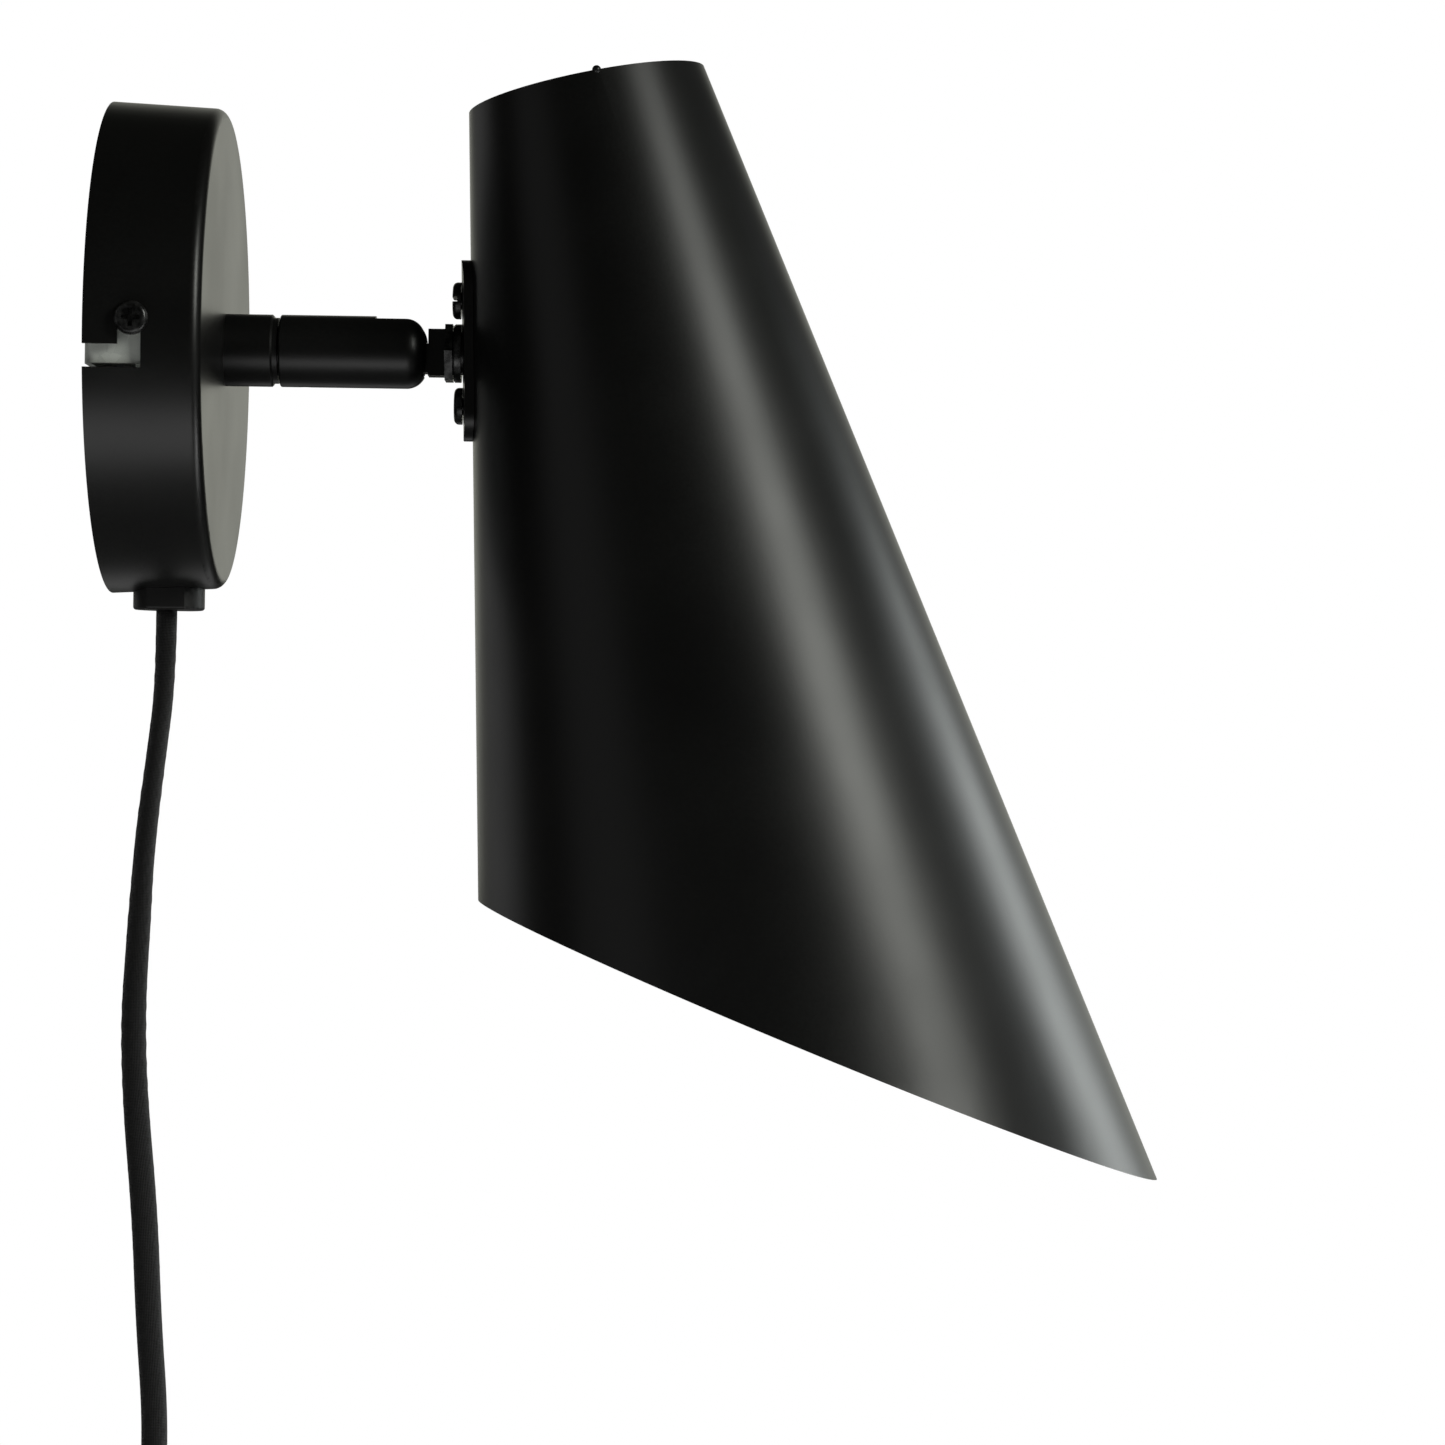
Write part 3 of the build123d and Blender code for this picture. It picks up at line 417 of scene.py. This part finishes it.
def zinc_steel():
    """Zinc-plated sheet: soft grey with a slight greenish cast and fine rolling lines."""
    f = Finish("zinc_steel").plain(Metallic=0.15)
    lines = f.noise(0.0006, detail=3.0, place=f.stretched((3.0, 0.25, 3.0)))
    patches = f.cells(0.0025)
    f.colour(f.blend((lines, 0.7), (patches, 0.3)), (0.70, 0.74, 0.69), (0.90, 0.94, 0.88))
    f.roughness(lines, 0.42, 0.58)
    return f.bump(lines, 0.000008)


def brass():
    """Turned brass with fine tool lines, a little tarnished."""
    f = Finish("brass").plain(Metallic=1.0)
    turned = f.noise(0.0003, detail=2.0, place=f.stretched((4.0, 1.0, 1.0)))
    tarnish = f.noise(0.004, detail=4.0)
    f.colour(tarnish, (0.50, 0.34, 0.12), (0.78, 0.57, 0.24))
    f.roughness(turned, 0.22, 0.38)
    return f.bump(turned, 0.000006)


def nickel():
    """Nickel plate over turned metal."""
    f = Finish("nickel").plain(Metallic=1.0)
    turned = f.noise(0.00035, detail=2.0, place=f.stretched((1.0, 1.0, 4.0)))
    clouds = f.noise(0.005, detail=3.0)
    f.colour(clouds, (0.52, 0.50, 0.46), (0.68, 0.66, 0.62))
    f.roughness(turned, 0.16, 0.30)
    return f.bump(turned, 0.000004)


def moulded(name, dark, light, rough=(0.42, 0.55), grain_high=0.000015, **plain):
    """Moulded plastic with the fine spark texture of its tool."""
    f = Finish(name).plain(**plain)
    spark = f.noise(0.00035, detail=4.0, rough=0.6)
    flow = f.noise(0.012, detail=2.0)
    f.colour(flow, dark, light)
    f.roughness(spark, *rough)
    return f.bump(spark, grain_high)


def sheathing(name, dark, light):
    """The smooth skin of a single wire, with faint lines along its length."""
    f = Finish(name)
    lines = f.noise(0.0005, detail=2.0, place=f.stretched((0.3, 3.0, 0.3)))
    f.colour(lines, dark, light)
    f.roughness(lines, 0.32, 0.46)
    return f.bump(lines, 0.000005)


def opal_glass():
    """Flashed opal glass: white, glossy, a little light passing through it."""
    f = Finish("opal_glass").plain(Subsurface_Weight=0.35, Subsurface_Scale=0.004, Coat_Weight=0.3,
                                   Coat_Roughness=0.05)
    f.shader.inputs["Subsurface Radius"].default_value = (1.0, 0.95, 0.9)
    cloud = f.noise(0.02, detail=2.0)
    seed = f.noise(0.0012, detail=2.0)
    f.colour(cloud, (0.80, 0.80, 0.78), (0.88, 0.88, 0.87))
    f.roughness(seed, 0.10, 0.18)
    return f.bump(seed, 0.000004)


def braided(name, dark, light, carriers=24):
    """A braid of fine yarns, two sets crossing, laid out on the piece's own braid map."""
    f = Finish(name).plain(Sheen_Weight=0.25, Sheen_Roughness=0.45, Specular_IOR_Level=0.25)
    laid = f.add("ShaderNodeUVMap", uv_map="braid").outputs["UV"]
    split = f.add("ShaderNodeSeparateXYZ")
    f.join(laid, split.inputs["Vector"])
    rightward = f.mix(split.outputs["X"], split.outputs["Y"], "ADD")
    leftward = f.mix(split.outputs["X"], split.outputs["Y"], "SUBTRACT")
    one_way = f.mix(f.mix(rightward, tau * carriers, "MULTIPLY"), 0, "SINE")
    other_way = f.mix(f.mix(leftward, tau * carriers, "MULTIPLY"), 0, "SINE")
    crossing = f.mix(one_way, other_way, "MULTIPLY")
    yarn = f.mix(f.mix(crossing, 0.5, "MULTIPLY"), 0.5, "ADD")
    fuzz = f.noise(0.0004, detail=4.0, rough=0.7)
    weave = f.blend((yarn, 0.6), (fuzz, 0.4))
    f.colour(weave, dark, light, high=0.75)
    f.roughness(fuzz, 0.6, 0.85)
    return f.bump(weave, 0.0002)


def looped_fabric():
    """The soft side of a hook-and-loop strap."""
    f = Finish("tie_fabric").plain(Sheen_Weight=0.5, Sheen_Roughness=0.5, Specular_IOR_Level=0.2)
    loops = f.cells(0.0005)
    nap = f.noise(0.0012, detail=5.0, rough=0.7)
    pile = f.blend((loops, 0.5), (nap, 0.5))
    f.colour(pile, grey(0.006), grey(0.035))
    f.roughness(nap, 0.8, 0.95)
    return f.bump(pile, 0.00025)


finishes = {
    "black_powder_coat": powder_coat(),
    "black_steel": black_steel(),
    "zinc_steel": zinc_steel(),
    "brass": brass(),
    "nickel": nickel(),
    "black_plastic": moulded("black_plastic", grey(0.007), grey(0.012), Specular_IOR_Level=0.4),
    "white_plastic": moulded("white_plastic", (0.74, 0.73, 0.70), (0.80, 0.80, 0.78), (0.30, 0.40)),
    "terminal_plastic": moulded("terminal_plastic", (0.62, 0.60, 0.53), (0.72, 0.71, 0.66), (0.35, 0.5),
                                Subsurface_Weight=0.3, Subsurface_Scale=0.003),
    "opal_glass": opal_glass(),
    "brown_wire": sheathing("brown_wire", (0.10, 0.035, 0.015), (0.16, 0.06, 0.025)),
    "blue_wire": sheathing("blue_wire", (0.02, 0.08, 0.30), (0.04, 0.14, 0.42)),
    "white_wire": sheathing("white_wire", (0.62, 0.61, 0.58), (0.74, 0.73, 0.71)),
    "black_textile": braided("black_textile", grey(0.0012), grey(0.022)),
    "tie_fabric": looped_fabric(),
}


def finish_nodes():
    """Every CAD node takes the material of its slot."""
    for subpart in frame["record"]["subparts"]:
        mesh = nodes[subpart["node"]].data
        mesh.materials.clear()
        mesh.materials.append(finishes[subpart["material_slot"]].material)


def dress(piece, body, slot, *replaced):
    """A new piece's finish, the body it rides on and the CAD nodes it stands for."""
    piece.data.materials.append(finishes[slot].material)
    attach(piece, body)
    if replaced:
        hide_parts(*replaced)


finish_nodes()

# ---------------------------------------------------------------- coil tie
TIE_START = radians(-101)
TIE_ARC = radians(22)
TIE_THICK = 0.0011
TIE_TURNS = 1.22
TIE_STEPS = 110
TIE_FIRST_TURN = 0.12
BUNDLE_HALF = 0.0089
BUNDLE_SQUARENESS = 5
# the end lifts over the start from this turn on, over this part of a turn
LAP_START = 0.98
LAP_SPREAD = 0.10
LAP_HIGH = TIE_THICK * 1.05
# each of the last steps takes this part off the strap's width
TIP_STEPS = 4
TIP_NARROWS = 0.09
# the strap's section: (across, up), as parts of its width and its thickness
STRAP_EDGE = [(-0.5, 0), (-0.47, 0.5), (-0.4, 1), (0, 1.04), (0.4, 1), (0.47, 0.5), (0.5, 0), (0, -0.02)]


def make_tie():
    """A hook-and-loop strap round the bundle, its narrowing end lapped over its start."""
    rings = []
    for step in range(TIE_STEPS + 1):
        turn = TIE_TURNS * step / TIE_STEPS
        lift = clamp((turn - LAP_START) / LAP_SPREAD) * LAP_HIGH
        taper = 1 - TIP_NARROWS * max(0, step - TIE_STEPS + TIP_STEPS)
        ring = []
        for across, up in STRAP_EDGE:
            angle = TIE_START + TIE_ARC * (0.5 + across * taper)
            half = BUNDLE_HALF + lift + up * TIE_THICK
            x, radial = superellipse(tau * (turn + TIE_FIRST_TURN), half, half, BUNDLE_SQUARENESS)
            radius = COIL_R + radial
            ring.append((COIL_X + x, COIL_Y + radius * cos(angle), COIL_Z + radius * sin(angle)))
        rings.append(ring)
    return piece_from("coil_strap", *skin(rings))


# ---------------------------------------------------------------- plug
PLUG_TOP = -0.386
PLUG_TAPER = 0.022
PLUG_LONG = 0.034
PLUG_WIDE = 0.0353
PLUG_THICK = 0.0137
PLUG_SQUARENESS = 3.6
PLUG_COLUMNS = 64

BOOT_STEPS = 66
BOOT_TOP_R = 0.0037
BOOT_LOW_R = 0.0056
BOOT_SQUARENESS = 2.0
BOOT_LIP = 0.86
BOOT_LIP_PART = 1 / 20
RIBS = 7.5
RIB_DEEP = 0.00055
RIB_STEEP = 2.2
RIBS_FROM = 0.08
RIBS_TO = 0.96

SHOULDER_STEPS = 16
SHOULDER_LONG = 0.012
SHOULDER_FULL = 0.9

BODY_STEPS = 40
GRIPS = 5
GRIP_DEEP = 0.00045
GRIPS_FROM = 0.1
GRIPS_TO = 0.7
END_ROUND = 0.0009
END_FROM = 0.93


def between(first, last, part):
    return first + (last - first) * part


def boot_sections():
    """The ribbed boot, which widens downwards and has a narrower lip at its top."""
    sections = []
    for step in range(BOOT_STEPS + 1):
        part = step / BOOT_STEPS
        rib = 0.5 + 0.5 * cos(tau * part * RIBS)
        groove = RIB_DEEP * (1 - min(1, rib * RIB_STEEP)) * (RIBS_FROM < part < RIBS_TO)
        lip = between(BOOT_LIP, 1, min(1, part / BOOT_LIP_PART))
        radius = (between(BOOT_TOP_R, BOOT_LOW_R, part) - groove) * lip
        sections.append((PLUG_TOP - PLUG_TAPER * part, radius, radius, BOOT_SQUARENESS))
    return sections


def shoulder_sections():
    """From the boot's round end to the body's flat, squarish section."""
    sections = []
    for step in range(1, SHOULDER_STEPS + 1):
        part = step / SHOULDER_STEPS
        grown = ease(part)
        sections.append((
            PLUG_TOP - PLUG_TAPER - SHOULDER_LONG * part,
            between(BOOT_LOW_R, PLUG_THICK / 2, grown),
            between(BOOT_LOW_R, PLUG_WIDE / 2, grown ** SHOULDER_FULL),
            between(BOOT_SQUARENESS, PLUG_SQUARENESS, grown),
        ))
    return sections


def body_sections():
    """The body, with finger grooves at its two narrow sides and a rounded end."""
    sections = []
    top = PLUG_TOP - PLUG_TAPER - SHOULDER_LONG
    for step in range(1, BODY_STEPS + 1):
        part = step / BODY_STEPS
        grip = GRIP_DEEP * max(0, sin(tau * part * GRIPS)) * (GRIPS_FROM < part < GRIPS_TO)
        rounding = max(0, (part - END_FROM) / (1 - END_FROM)) ** 2 * END_ROUND
        sections.append((
            top - (PLUG_LONG - SHOULDER_LONG) * part,
            PLUG_THICK / 2 - rounding,
            PLUG_WIDE / 2 - grip - rounding,
            PLUG_SQUARENESS,
        ))
    return sections


def make_plug():
    """A moulded two-pin plug, through sections of (z, half x, half y, squareness)."""
    rings = []
    for z, half_x, half_y, squareness in boot_sections() + shoulder_sections() + body_sections():
        ring = []
        for column in range(PLUG_COLUMNS):
            x, y = superellipse(tau * column / PLUG_COLUMNS, half_x, half_y, squareness)
            ring.append((TAIL_X + x, y, z))
        rings.append(ring[::-1])
    return piece_from("plug_shell", *skin(rings))


# ---------------------------------------------------------------- the cord and what is on it
cord, cord_path = make_cord()
dress(cord, "wall_base", "black_textile", "cord_run", "cord_lower", "cord_coil", "cord_tail")
strap = make_tie()
dress(strap, "wall_base", "tie_fabric", "cord_tie")
plug = make_plug()
dress(plug, "wall_base", "black_plastic", "plug_body")


# ---------------------------------------------------------------- studio
FLOOR_Z = cad_box[0].z - 0.02
FLOOR_HALF = 9.0
WHITE = (1.0, 1.0, 1.0, 1.0)
# the tint of the world's light, which the camera doesn't see directly
BOUNCED_TINT = (0.99, 1.0, 0.88, 1.0)
# the backdrop's light sets in, and is full, where a direction's y is this much
BACKDROP_START = 0.78
BACKDROP_FULL = 1.0
ROOM_LEVEL = 0.02
BACKDROP_LEVEL = 1.0


def make_floor():
    """A plain floor that looks white but lights the lamp as a dim one would, clear from below."""
    corners = [(-1, -1), (1, -1), (1, 1), (-1, 1)]
    vertices = [(FLOOR_HALF * x, FLOOR_HALF * y, FLOOR_Z) for x, y in corners]
    floor = piece_from("floor", vertices, [(0, 1, 2, 3)], smooth=False)
    f = Finish("floor")
    f.colour(f.noise(0.5), grey(0.20), grey(0.22))
    f.plain(Roughness=0.9, Specular_IOR_Level=0.1)
    lit = f.add("ShaderNodeEmission")
    lit.inputs["Strength"].default_value = 1.0
    seen = f.add("ShaderNodeLightPath")
    pale = f.add("ShaderNodeMixShader")
    f.join(seen.outputs["Is Camera Ray"], pale.inputs["Fac"])
    f.join(f.shader.outputs["BSDF"], pale.inputs[1])
    f.join(lit.outputs["Emission"], pale.inputs[2])
    facing = f.add("ShaderNodeNewGeometry")
    clear = f.add("ShaderNodeBsdfTransparent")
    sided = f.add("ShaderNodeMixShader")
    f.join(facing.outputs["Backfacing"], sided.inputs["Fac"])
    f.join(pale.outputs["Shader"], sided.inputs[1])
    f.join(clear.outputs["BSDF"], sided.inputs[2])
    out = f.tree.nodes["Material Output"]
    f.join(sided.outputs["Shader"], out.inputs["Surface"])
    floor.data.materials.append(f.material)


def make_world():
    """White to the camera. For the rest of the light, white behind the lamp and dim elsewhere."""
    world = bpy.data.worlds.new("studio")
    scene.world = world
    world.use_nodes = True
    tree = world.node_tree
    tree.nodes.clear()
    way = add_node(tree, "ShaderNodeTexCoord")
    split = add_node(tree, "ShaderNodeSeparateXYZ")
    tree.links.new(way.outputs["Generated"], split.inputs["Vector"])
    backdrop = add_node(tree, "ShaderNodeMapRange", interpolation_type="SMOOTHSTEP")
    backdrop.inputs["From Min"].default_value = BACKDROP_START
    backdrop.inputs["From Max"].default_value = BACKDROP_FULL
    backdrop.inputs["To Min"].default_value = ROOM_LEVEL
    backdrop.inputs["To Max"].default_value = BACKDROP_LEVEL
    tree.links.new(split.outputs["Y"], backdrop.inputs["Value"])
    seen = add_node(tree, "ShaderNodeLightPath")
    level = add_node(tree, "ShaderNodeMath", operation="MAXIMUM")
    tree.links.new(backdrop.outputs["Result"], level.inputs[0])
    tree.links.new(seen.outputs["Is Camera Ray"], level.inputs[1])
    tint = add_node(tree, "ShaderNodeMixRGB")
    tint.inputs["Color1"].default_value = BOUNCED_TINT
    tint.inputs["Color2"].default_value = WHITE
    tree.links.new(seen.outputs["Is Camera Ray"], tint.inputs["Fac"])
    background = add_node(tree, "ShaderNodeBackground")
    tree.links.new(tint.outputs["Color"], background.inputs["Color"])
    tree.links.new(level.outputs["Value"], background.inputs["Strength"])
    out = add_node(tree, "ShaderNodeOutputWorld")
    tree.links.new(background.outputs["Background"], out.inputs["Surface"])


SHADE_MIDDLE = Vector((0.13, 0, -0.06))
SHADE_MOUTH = Vector((0.14, 0, -0.13))
CANOPY_MIDDLE = Vector((0.03, 0, -0.01))


def make_light(name, way, distance, size, radiance, target=SHADE_MIDDLE, tint=(1, 1, 1)):
    """A soft box of (width, height) metres, a distance along way from its target, facing it."""
    lamp = bpy.data.lights.new(name, "AREA")
    lamp.shape = "RECTANGLE"
    lamp.size, lamp.size_y = size
    lamp.energy = radiance * pi * size[0] * size[1]
    lamp.color = tint
    light = bpy.data.objects.new(name, lamp)
    towards = Vector(way).normalized()
    light.location = target + towards * distance
    light.rotation_mode = "QUATERNION"
    light.rotation_quaternion = towards.to_track_quat("Z", "Y")
    light.visible_camera = False
    scene.collection.objects.link(light)


make_floor()
make_world()
make_light(
    "soft_box_right", way=(0.714, -0.507, 0.445), distance=1.3, size=(0.42, 0.52), radiance=9.8,
    tint=(0.98, 1.0, 0.94),
)
make_light(
    "panel_right_back", way=(0.86, 0.50, -0.03), distance=0.9, size=(0.32, 0.72), radiance=5.2,
    tint=(0.95, 1.0, 0.985),
)
make_light("panel_left_back", way=(-0.82, 0.57, 0.02), distance=1.0, size=(0.5, 0.9), radiance=0.33)
make_light(
    "reflector_front", way=(-0.1, -0.70, -0.66), distance=0.55, size=(0.5, 0.24), radiance=1.3,
    target=CANOPY_MIDDLE,
)
make_light(
    "under_light", way=(0.72, -0.15, -0.67), distance=0.42, size=(0.34, 0.34), radiance=5.0,
    target=SHADE_MOUTH,
)
make_light(
    "reflector_back", way=(0, 0.80, -0.60), distance=0.6, size=(0.4, 0.2), radiance=0.4,
    target=CANOPY_MIDDLE,
)
make_light("fill_left", way=(-0.85, -0.50, 0.12), distance=1.2, size=(0.7, 1.0), radiance=0.19)
scene.view_settings.view_transform = "Standard"
